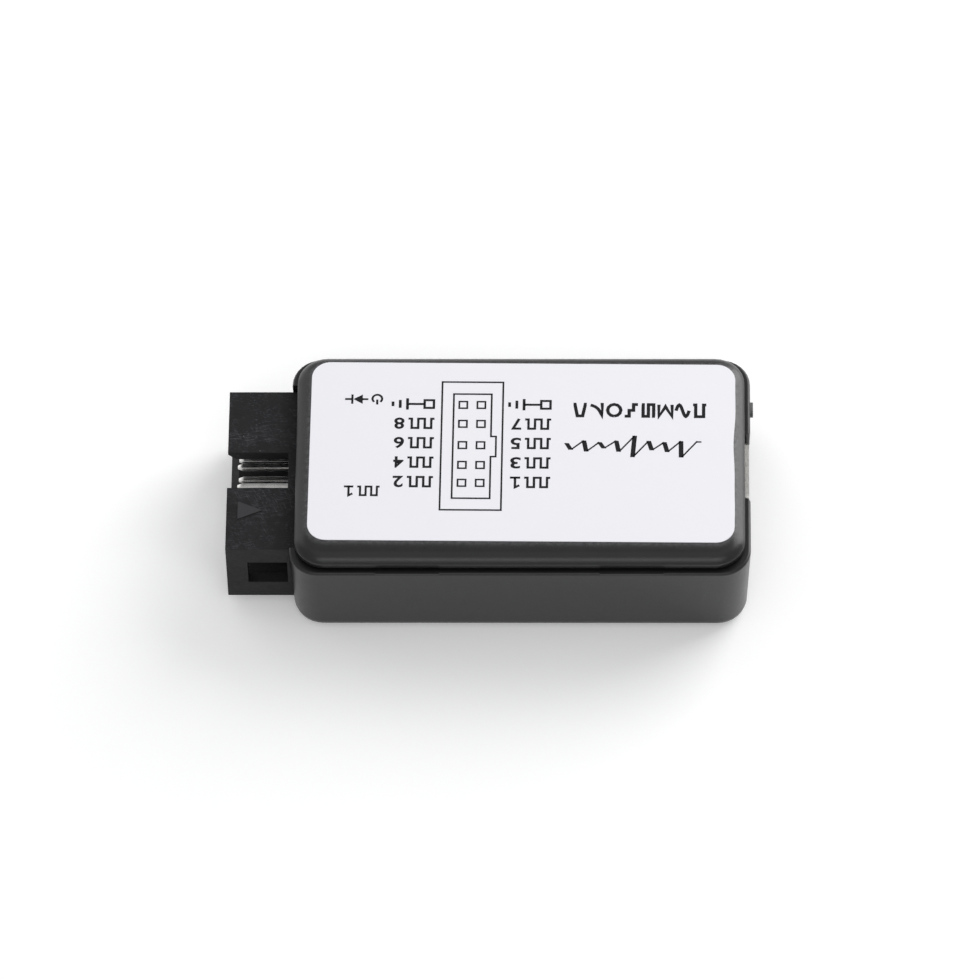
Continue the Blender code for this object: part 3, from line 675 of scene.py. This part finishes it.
def build_lamp_marks():
    """Beside each lamp: a power sign with a diode, and channel 1's pulse."""
    x, y, radius = LAMP_MARKS_X, -6.66, 0.52
    bm = bmesh.new()
    stroke = 0.23
    ink_line(bm, arc((x + radius, y - 0.06), radius, 130, 410, 16), stroke)
    ink_line(bm, [(x + radius, y + 0.05), (x + radius, y + 0.68)], stroke)
    wire = x + 2 * radius + 0.45
    base, nose, bar, half = wire + 0.6, wire + 1.6, wire + 1.72, 0.6
    ink_line(bm, [(wire, y), (wire + 0.7, y)], stroke)
    ink_shape(bm, [(base, y - half), (nose, y), (base, y + half)])
    ink_line(bm, [(bar, y - half), (bar, y + half)], stroke)
    ink_line(bm, [(bar, y), (wire + 2.5, y)], stroke)
    middle, height, length = 5.17, 1.34, 2.4
    pulse_mark(bm, x, middle, length, height, stroke)
    ink_digit(bm, 1, x + length + DIGIT_GAP, middle, height)
    add_piece("print_lamp_marks", bm, INK, "cover")


def wave_shapes():
    """Eight small test signals, each within a unit square."""
    turn = [i / 12 for i in range(13)]
    yield [(0, 0), (0.2, 0), (0.2, 1), (0.8, 1), (0.8, 0), (1, 0)]
    yield [(t, 0.5 + 0.5 * math.sin(math.tau * t)) for t in turn]
    yield [(0, 0), (0, 1), (0.5, 0.15), (1, 1), (1, 0)]
    yield [(0, 1), (0.1, 1), (0.1, 0), (0.5, 0), (0.5, 1), (0.9, 1), (0.9, 0), (1, 0)]
    yield [(0, 0), (0.33, 0), (0.33, 0.5), (0.66, 0.5), (0.66, 1), (1, 1)]
    yield [(0.5 + 0.5 * math.sin(math.tau * t), 0.5 + 0.5 * math.cos(math.tau * t)) for t in turn]
    yield [(0, 0), (0.12, 0), (0.12, 1)] + [(0.12 + 0.88 * t, math.exp(-2.6 * t)) for t in turn[1:]]
    yield [(0, 0), (0.1, 0), (0.3, 1), (0.7, 1), (0.9, 0), (1, 0)]


def build_signal_line():
    """A row of eight test signals, one for each channel."""
    start, step, width, height, middle, stroke = -19.75, 1.84, 1.42, 1.52, -5.44, 0.36
    bm = bmesh.new()
    for number, shape in enumerate(wave_shapes()):
        x = start + step * number
        ink_line(bm, [(x + width * u, middle + height * (v - 0.5)) for u, v in shape], stroke)
    add_piece("print_signal_line", bm, INK, "cover")


def build_trace_flourish():
    """A slanted zigzag signal: thin rising strokes, thick falling ones, uneven peaks."""
    start, base, step, slant = -18.8, -1.5, 1.74, 0.36
    thin, thick = 0.17, 0.5
    peaks = (2.1, 1.42, 1.2, 2.1, 1.42, 1.0, 1.42, 1.2)
    troughs = (0.0, 0.0, 0.15, 0.0, -0.65, 0.0, 0.2, 0.0, 0.35)
    bm = bmesh.new()
    half = thick / 2
    feet = [(start + step * k + slant * low, base + low) for k, low in enumerate(troughs)]
    for number, peak in enumerate(peaks):
        x, y = start + step * (number + 0.55) + slant * peak, base + peak
        end_x, end_y = feet[number + 1]
        ink_shape(bm, [(x - half, y), (x + half, y), (end_x + half, end_y), (end_x - half, end_y)])
        ink_line(bm, [feet[number], (x - 0.1, y - thin / 2)], thin)
    ink_line(bm, [(start - 0.45, base + thin / 2), (start + 0.1, base + thin / 2)], thin)
    add_piece("print_trace_flourish", bm, INK, "cover")


# ---------------------------------------------------------------- parts on the board


def add_pad(bm, middle, size):
    """A tinned pad, up to the underside of the part that stands on it."""
    x, y = middle
    low = (x - size[0] / 2, y - size[1] / 2, BOARD_TOP - SUNK)
    high = (x + size[0] / 2, y + size[1] / 2, BOARD_TOP + 0.06 * MM)
    add_block(bm, low, high)


def add_fillet(bm, foot, outward, length, height, width):
    """Solder that climbs a part's end: a hollow-sided wedge whose tall side is at foot."""
    steps = 5
    curve = [(length * i / steps, height * (1 - i / steps) ** 2) for i in range(steps + 1)]
    outline = [(-0.04 * MM, 0.0), *reversed(curve), (-0.04 * MM, height)]
    lie = (-outward.y, outward.x, 0.0)
    placing = standing((*outward, 0.0), lie, (foot[0], foot[1], BOARD_TOP + 0.03 * MM))
    add_prism(bm, outline, -width / 2, width / 2, placing)


def two_ended(node, body_material, cap_share=0.22, top_material=None, caps=TIN):
    """A two-terminal chip: body, glazed top, end caps, pads and solder."""
    low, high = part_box(node)
    size = high - low
    axis = 0 if size.x > size.y else 1
    across = 1 - axis
    length, width, tall = size[axis], size[across], size.z
    cap = cap_share * length
    inset = Vector((0.03, 0.03, 0.03)) * MM
    body = bmesh.new()
    body_low, body_high = low + inset, high - inset
    add_block(body, body_low, body_high)
    add_piece(f"{node}_body", body, body_material, "case", 0.06 * MM, (node,))
    ends, joints = bmesh.new(), bmesh.new()
    centre = (low + high) / 2
    for sign in (-1, 1):
        a, b = low.copy(), high.copy()
        edge = centre[axis] + sign * length / 2
        a[axis], b[axis] = sorted((edge, edge - sign * cap))
        add_block(ends, a, b)
        outward = Vector((0.0, 0.0))
        outward[axis] = sign
        pad_middle = Vector((centre.x, centre.y))
        pad_middle[axis] = edge + sign * 0.1 * MM
        pad_size = Vector((0.0, 0.0))
        pad_size[axis] = cap + 0.65 * MM
        pad_size[across] = width + 0.16 * MM
        add_pad(joints, pad_middle, pad_size)
        foot = Vector((centre.x, centre.y))
        foot[axis] = edge
        add_fillet(joints, foot, outward, 0.36 * MM, min(0.6 * tall, 0.5 * MM), width * 0.94)
    add_piece(f"{node}_caps", ends, caps, "case", 0.07 * MM)
    add_piece(f"{node}_solder", joints, SOLDER, "case", 0.02 * MM)
    if top_material:
        top = bmesh.new()
        a, b = body_low.copy(), body_high.copy()
        a[axis] += cap
        b[axis] -= cap
        a.z, b.z = body_high.z - 0.02 * MM, high.z
        add_block(top, a, b, 0.02 * MM)
        add_piece(f"{node}_top", top, top_material, "case")


def resistor_array(node):
    """Four resistors in one block, with a terminal at each end of every one."""
    low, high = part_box(node)
    bm = bmesh.new()
    add_block(bm, low + Vector((0.05, 0.02, 0.0)) * MM, high - Vector((0.05, 0.02, 0.03)) * MM)
    add_piece(f"{node}_body", bm, ALUMINA, "case", 0.05 * MM, (node,))
    top, ends, joints = bmesh.new(), bmesh.new(), bmesh.new()
    cap = 0.3 * MM
    side = 0.08 * MM
    add_block(top, (low.x + cap, low.y + side, high.z - 0.05 * MM), (high.x - cap, high.y - side, high.z))
    pitch = (high.y - low.y) / 4
    for number in range(4):
        y = low.y + pitch * (number + 0.5)
        for x, sign in ((low.x, -1), (high.x, 1)):
            inner = x - sign * cap
            a, b = sorted((x, inner))
            add_block(ends, (a, y - 0.22 * MM, low.z), (b, y + 0.22 * MM, high.z - 0.005 * MM))
            add_pad(joints, (x + sign * 0.12 * MM, y), (0.75 * MM, 0.5 * MM))
            add_fillet(joints, (x, y), Vector((sign, 0.0)), 0.3 * MM, 0.32 * MM, 0.42 * MM)
    add_piece(f"{node}_top", top, RESISTOR_GLAZE, "case", 0.02 * MM)
    add_piece(f"{node}_terminals", ends, TIN, "case", 0.04 * MM)
    add_piece(f"{node}_solder", joints, SOLDER, "case", 0.02 * MM)


def add_chip_body(bm, low, high, parting, taper):
    """Moulded resin, widest at the parting line and tapered above and below it."""
    rings = []
    for z, inset in ((low.z, taper), (parting, 0.0), (high.z, taper)):
        corners = ((low.x, low.y), (high.x, low.y), (high.x, high.y), (low.x, high.y))
        middle = (low + high) / 2
        ring = []
        for x, y in corners:
            place = (x - math.copysign(inset, x - middle.x), y - math.copysign(inset, y - middle.y), z)
            ring.append(bm.verts.new(place))
        rings.append(ring)
    bm.faces.new(rings[0])
    bm.faces.new(rings[-1])
    for a, b in zip(rings, rings[1:]):
        for k in range(4):
            bm.faces.new((a[k], a[(k + 1) % 4], b[(k + 1) % 4], b[k]))


def gull_wing_chip(node, along, body_length, body_width, leads, pitch, tab=0.0):
    """A chip with bent leads down two sides. along is the axis that its lead rows run in."""
    low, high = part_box(node)
    centre = (low + high) / 2
    across = 1 - along
    span = (high - low)[across]
    a, b = low.copy(), high.copy()
    a[along], b[along] = centre[along] - body_length / 2, centre[along] + body_length / 2
    a[across], b[across] = centre[across] - body_width / 2, centre[across] + body_width / 2
    a.z += 0.08 * MM
    parting = (a.z + b.z) / 2
    body = bmesh.new()
    add_chip_body(body, a, b, parting, 0.14 * MM)
    add_piece(f"{node}_body", body, CHIP_RESIN, "case", 0.05 * MM, (node,))
    wings, joints = bmesh.new(), bmesh.new()
    thick = 0.16 * MM
    rise = parting - low.z - thick / 2
    reach = (span - body_width) / 2
    bend = min(0.16 * MM, 0.24 * reach)
    for sign, count in zip((1, -1), leads):
        for number in range(count):
            width = tab if count == 1 else min(0.42 * MM, 0.48 * pitch)
            place = centre[along] + (number - (count - 1) / 2) * pitch
            path = [(-0.2 * MM, rise), (0.36 * reach, rise), (0.5 * reach, thick / 2), (reach, thick / 2)]
            side = Vector((0.0, 0.0, 0.0))
            side[across] = sign
            lie = Vector((0.0, 0.0, 0.0))
            lie[along] = 1.0
            origin = Vector((0.0, 0.0, low.z))
            origin[along] = place
            origin[across] = centre[across] + sign * body_width / 2
            placing = standing(side, lie, origin)
            add_ribbon(wings, rounded_path(path, bend), thick, -width / 2, width / 2, placing)
            toe = [0.0, 0.0]
            toe[along], toe[across] = place, centre[across] + sign * (span / 2 - 0.1 * MM)
            pad = [0.0, 0.0]
            pad[along], pad[across] = width + 0.06 * MM, 0.5 * reach + 0.6 * MM
            add_pad(joints, toe, pad)
            tip = list(toe)
            tip[across] = centre[across] + sign * span / 2
            add_fillet(joints, tip, side.to_2d(), 0.26 * MM, 0.15 * MM, width * 0.96)
    add_piece(f"{node}_leads", wings, TIN, "case", 0.02 * MM)
    add_piece(f"{node}_solder", joints, SOLDER, "case", 0.015 * MM)
    if not tab:
        mark = [centre.x, centre.y]
        mark[along] = a[along] + 0.75 * MM
        mark[across] = a[across] + 0.85 * MM
        add_dot(f"{node}_first_pin_mark", mark, 0.3 * MM, b.z, CHIP_MARK)


def add_dot(name, middle, radius, height, material):
    """A shallow round moulding mark on a chip."""
    bm = bmesh.new()
    add_prism(bm, arc(middle, radius, 0, 345, 23), height - 0.02 * MM, height + 0.004 * MM)
    add_piece(name, bm, material, "case")


def leadless_chip(node):
    """A flat square chip with a row of pads along each side."""
    low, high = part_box(node)
    centre = (low + high) / 2
    half = (high.x - low.x) / 2
    bm = bmesh.new()
    add_block(bm, low, high)
    add_piece(f"{node}_body", bm, CHIP_RESIN, "case", 0.04 * MM, (node,))
    pads, joints = bmesh.new(), bmesh.new()
    for turn in range(4):
        spin = Matrix.Translation((centre.x, centre.y, 0.0)) @ Matrix.Rotation(turn * math.pi / 2, 4, "Z")
        for number in range(CONTROLLER_PADS):
            y = (number - (CONTROLLER_PADS - 1) / 2) * CONTROLLER_PITCH
            outline = rectangle((half - 0.14 * MM, y), (0.31 * MM, 0.24 * MM))
            add_prism(pads, outline, low.z, low.z + 0.2 * MM, spin)
            outline = rectangle((half + 0.05 * MM, y), (0.7 * MM, 0.28 * MM))
            add_prism(joints, outline, BOARD_TOP - SUNK, BOARD_TOP + 0.07 * MM, spin)
    add_piece(f"{node}_pads", pads, TIN, "case")
    add_piece(f"{node}_solder", joints, SOLDER, "case", 0.02 * MM)
    mark = (low.x + 0.9 * MM, high.y - 0.9 * MM)
    add_dot(f"{node}_first_pin_mark", mark, 0.32 * MM, high.z, CHIP_MARK)


def lamp(node, lens):
    """A surface-mount lamp: white base, domed lens, end caps."""
    low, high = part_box(node)
    two_ended(node, ALUMINA, 0.2, caps=GOLD)
    bm = bmesh.new()
    base = low.z + 0.45 * (high.z - low.z)
    inset = Vector((0.06 * MM, 0.42 * MM, 0.0))
    a, b = low + inset, high - inset
    a.z = base
    b.z = high.z + 0.02 * MM
    add_block(bm, a, b, 0.08 * MM)
    thing = add_piece(f"{node}_lens", bm, lens, "case", 0.12 * MM)
    thing.modifiers["edges"].segments = 4


# ---------------------------------------------------------------- board


def trace(bm, points, width):
    """A track along a path."""
    add_ribbon(bm, points, width, BOARD_TOP - SUNK, BOARD_TOP + 0.022 * MM)


def jog(start, end, bend):
    """A track that leaves and arrives along X, with one slanted stretch after bend."""
    run = abs(end[1] - start[1])
    turn = start[0] + bend
    return [start, (turn, start[1]), (turn + run, end[1]), end] if run > 1e-6 else [start, end]


def build_tracks():
    """Tracks between the header, the input networks, the buffer, the controller and the socket."""
    bm = bmesh.new()
    pad_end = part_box("header_pin_1")[1].x + 0.5 * MM
    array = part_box("resistor_array_1")[0]
    buffer_low, buffer_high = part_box("bus_buffer")
    chip_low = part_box("usb_microcontroller")[0]
    socket_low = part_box("usb_shell")[0]
    for number in range(-2, 3):
        end = (array.x - 0.1 * MM, number * 0.8 * MM)
        trace(bm, jog((pad_end, number * PIN_PITCH), end, 0.3 * MM), 0.2 * MM)
    for number in range(8):
        off = number - 3.5
        y = off * BUFFER_PITCH
        start = (buffer_high.x + 0.1 * MM, y)
        end = (chip_low.x - 0.2 * MM, off * CONTROLLER_PITCH)
        trace(bm, jog(start, end, (1.0 + 0.28 * abs(off)) * MM), 0.16 * MM)
        start = (array.x + 1.75 * MM, y)
        trace(bm, [start, (buffer_low.x - 0.1 * MM, y)], 0.16 * MM)
    for side in (-1, 1):
        start = (11.2 * MM, side * 0.25 * MM)
        end = (socket_low.x - 0.3 * MM, side * 0.4 * MM)
        trace(bm, jog(start, end, 5.6 * MM), 0.25 * MM)
        edge = side * 10.9 * MM
        trace(bm, [(-16.0 * MM, edge), (19.5 * MM, edge), (21.0 * MM, edge - side * 1.5 * MM)], 0.5 * MM)
    for x in (3.5, 4.5, 5.5, 6.5):
        trace(bm, [(x * MM, 4.2 * MM), (x * MM, 5.2 * MM)], 0.2 * MM)
        trace(bm, [(x * MM, -4.2 * MM), (x * MM, -6.2 * MM)], 0.2 * MM)
    add_piece("board_tracks", bm, MASKED_COPPER, "case", 0.012 * MM)


# In millimetres
VIAS = (
    (-12.3, 4.6), (-12.3, -7.4), (-8.4, 5.4), (-6.2, -5.6), (-1.2, 2.9), (-0.4, -3.4), (1.1, 6.0),
    (8.6, 5.3), (9.4, -5.4), (12.0, 1.4), (11.8, -5.7), (17.2, 0.9), (17.4, -1.2), (19.6, 6.6),
    (20.8, 9.6), (13.0, -9.9), (-4.6, 9.2), (-8.8, -9.4), (-15.6, 9.9), (-15.8, -9.8),
)


def build_vias():
    """Tinned rings round the small holes that join the board's two sides."""
    bm = bmesh.new()
    for x, y in VIAS:
        ring = arc((x * MM, y * MM), 0.22 * MM, 0, 330, 11)
        add_ribbon(bm, ring, 0.2 * MM, BOARD_TOP - SUNK, BOARD_TOP + 0.03 * MM, closed=True)
    add_piece("board_vias", bm, TIN, "case", 0.01 * MM)


# Each part's printed outline, as the room it leaves in X and in Y, in millimetres
OUTLINED = {
    "bus_buffer": (0.25, 0.25), "memory_chip": (0.25, 0.25), "voltage_regulator": (0.25, 0.25),
    "usb_microcontroller": (0.75, 0.75), "crystal_seat": (0.3, 0.3), "tantalum_capacitor": (0.75, 0.3),
    "resettable_fuse": (0.75, 0.3), "capacitor_1": (0.3, 0.65), "capacitor_2": (0.3, 0.65),
    "capacitor_3": (0.3, 0.65), "capacitor_4": (0.3, 0.65), "resistor_1": (0.3, 0.65),
    "resistor_2": (0.3, 0.65), "resistor_3": (0.3, 0.65), "power_led": (0.3, 0.65),
    "channel_1_led": (0.3, 0.65),
}


def build_silk():
    """White outlines round the parts."""
    bm = bmesh.new()
    for node, (x, y) in OUTLINED.items():
        low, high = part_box(node)
        middle = (low + high) / 2
        size = (high.x - low.x + 2 * x * MM, high.y - low.y + 2 * y * MM)
        path = rectangle((middle.x, middle.y), size)
        add_ribbon(bm, path, 0.13 * MM, BOARD_TOP - SUNK, BOARD_TOP + 0.03 * MM, closed=True)
    add_piece("board_silk", bm, SILK, "case")


def build_edge_joints():
    """Pads and solder where the header's pins run over and under the board's edge."""
    bm = bmesh.new()
    board_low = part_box("circuit_board")[0]
    stand = standing((0.0, 1.0, 0.0), (1.0, 0.0, 0.0), (0.0, 0.0, 0.0))
    for number in range(1, 11):
        low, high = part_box(f"header_pin_{number}")
        y = (low.y + high.y) / 2
        end = high.x + 0.5 * MM
        if number % 2:
            a, b = BOARD_TOP - SUNK, BOARD_TOP + 0.05 * MM
            near, far = b, low.z + 0.3 * MM
        else:
            a, b = board_low.z - 0.05 * MM, board_low.z + SUNK
            near, far = a, high.z - 0.3 * MM
        add_block(bm, (board_low.x + 0.1 * MM, y - 0.8 * MM, a), (end, y + 0.8 * MM, b))
        for side in (-1, 1):
            foot, crest = y + side * 0.75 * MM, y + side * 0.3 * MM
            hollow = (crest + side * 0.14 * MM, (near + far) / 2)
            outline = [(crest, near), (foot, near), hollow, (crest, far)]
            add_prism(bm, outline, board_low.x + 0.3 * MM, high.x + 0.1 * MM, stand)
    add_piece("header_pin_joints", bm, SOLDER, "case", 0.03 * MM)


# ---------------------------------------------------------------- stage


def direction(azimuth, elevation):
    """The way from the object to a camera or light. Azimuth 0 is at -Y, 90 degrees at +X."""
    level = math.cos(elevation)
    return Vector((math.sin(azimuth) * level, -math.cos(azimuth) * level, math.sin(elevation)))


def add_softbox(name, azimuth, elevation, distance, width, height, radiance):
    """A soft rectangular light that looks at the object."""
    back = direction(math.radians(azimuth), math.radians(elevation))
    light = bpy.data.lights.new(name, "AREA")
    light.shape = "RECTANGLE"
    light.size, light.size_y = width, height
    light.energy = radiance * math.pi * width * height
    thing = bpy.data.objects.new(name, light)
    thing.location = back * distance
    thing.rotation_euler = back.to_track_quat("Z", "Y").to_euler()
    thing.visible_camera = False
    bpy.context.scene.collection.objects.link(thing)


def build_stage():
    """A pale even sky, four soft lights and a plain pale floor."""
    world = bpy.data.worlds.new("studio")
    bpy.context.scene.world = world
    world.use_nodes = True
    sky = world.node_tree.nodes["Background"]
    sky.inputs["Color"].default_value = (*SKY, 1.0)
    sky.inputs["Strength"].default_value = SKY_STRENGTH
    for name, box in SOFTBOXES.items():
        add_softbox(name, *box)
    surface = Surface("floor_paper", (0.93, 0.93, 0.93), 0.9, Specular_IOR_Level=0.1)
    surface.shader.inputs["Emission Color"].default_value = (1.0, 1.0, 1.0, 1.0)
    surface.shader.inputs["Emission Strength"].default_value = FLOOR_GLOW
    surface.bump(surface.noise(1.0 * MM, 3.0), 0.01 * MM)
    bm = bmesh.new()
    bmesh.ops.create_grid(bm, x_segments=1, y_segments=1, size=FLOOR_HALF)
    mesh = bpy.data.meshes.new("floor")
    bm.to_mesh(mesh)
    bm.free()
    mesh.materials.append(surface.material)
    floor = bpy.data.objects.new("floor", mesh)
    floor.location.z = -FLOOR_DROP
    bpy.context.scene.collection.objects.link(floor)


def build_camera():
    """A long lens that looks down at the front long side, rolled by a degree and a half."""
    back = direction(CAMERA_AZIMUTH, CAMERA_ELEVATION)
    right = (-back).cross(Vector((0.0, 0.0, 1.0))).normalized()
    up = right.cross(-back)
    c, s = math.cos(CAMERA_ROLL), math.sin(CAMERA_ROLL)
    axes = (right * c + up * s, up * c - right * s, back)
    place = CAMERA_TARGET + back * CAMERA_DISTANCE
    data = bpy.data.cameras.new("camera")
    data.sensor_width = SENSOR
    data.lens = CAMERA_LENS
    data.clip_start = 0.05
    camera = bpy.data.objects.new("camera", data)
    turned = Matrix(axes).transposed().to_4x4()
    camera.matrix_world = Matrix.Translation(place) @ turned
    bpy.context.scene.collection.objects.link(camera)
    bpy.context.scene.camera = camera


# ---------------------------------------------------------------- assembly

build_camera()
build_stage()
bpy.context.scene.view_settings.view_transform = "Standard"

refine("lower_shell", CASE_PLASTIC, 0.09 * MM)
refine("top_cover", CASE_PLASTIC, 0.09 * MM)
refine("header_housing", HEADER_PLASTIC, 0.08 * MM)
for pin in range(1, 11):
    refine(f"header_pin_{pin}", TIN, 0.05 * MM)
refine("circuit_board", SOLDER_MASK, 0.05 * MM)
refine("usb_shell", NICKEL, 0.05 * MM)
refine("usb_insulator", SOCKET_PLASTIC, 0.06 * MM)
for contact in range(1, 6):
    refine(f"usb_contact_{contact}", GOLD, 0.03 * MM)
refine("quartz_crystal", CAN_STEEL, 0.08 * MM)
refine("crystal_seat", SOCKET_PLASTIC, 0.05 * MM)

build_label()
build_header_diagram()
build_channel_marks()
build_lamp_marks()
build_signal_line()
build_trace_flourish()

for part in range(1, 4):
    two_ended(f"resistor_{part}", ALUMINA, 0.2, RESISTOR_GLAZE)
for part in range(1, 5):
    two_ended(f"capacitor_{part}", CAPACITOR_CERAMIC, 0.25)
for part in (1, 2):
    resistor_array(f"resistor_array_{part}")
two_ended("tantalum_capacitor", TANTALUM, 0.1)
two_ended("resettable_fuse", FUSE_GREEN, 0.2)
lamp("power_led", RED_LENS)
lamp("channel_1_led", GREEN_LENS)
gull_wing_chip("bus_buffer", 1, 7.2 * MM, 5.3 * MM, (10, 10), BUFFER_PITCH)
gull_wing_chip("memory_chip", 0, 4.9 * MM, 3.9 * MM, (4, 4), 1.27 * MM)
gull_wing_chip("voltage_regulator", 0, 6.5 * MM, 3.5 * MM, (3, 1), 2.3 * MM, 3.0 * MM)
leadless_chip("usb_microcontroller")

build_tracks()
build_vias()
build_silk()
build_edge_joints()
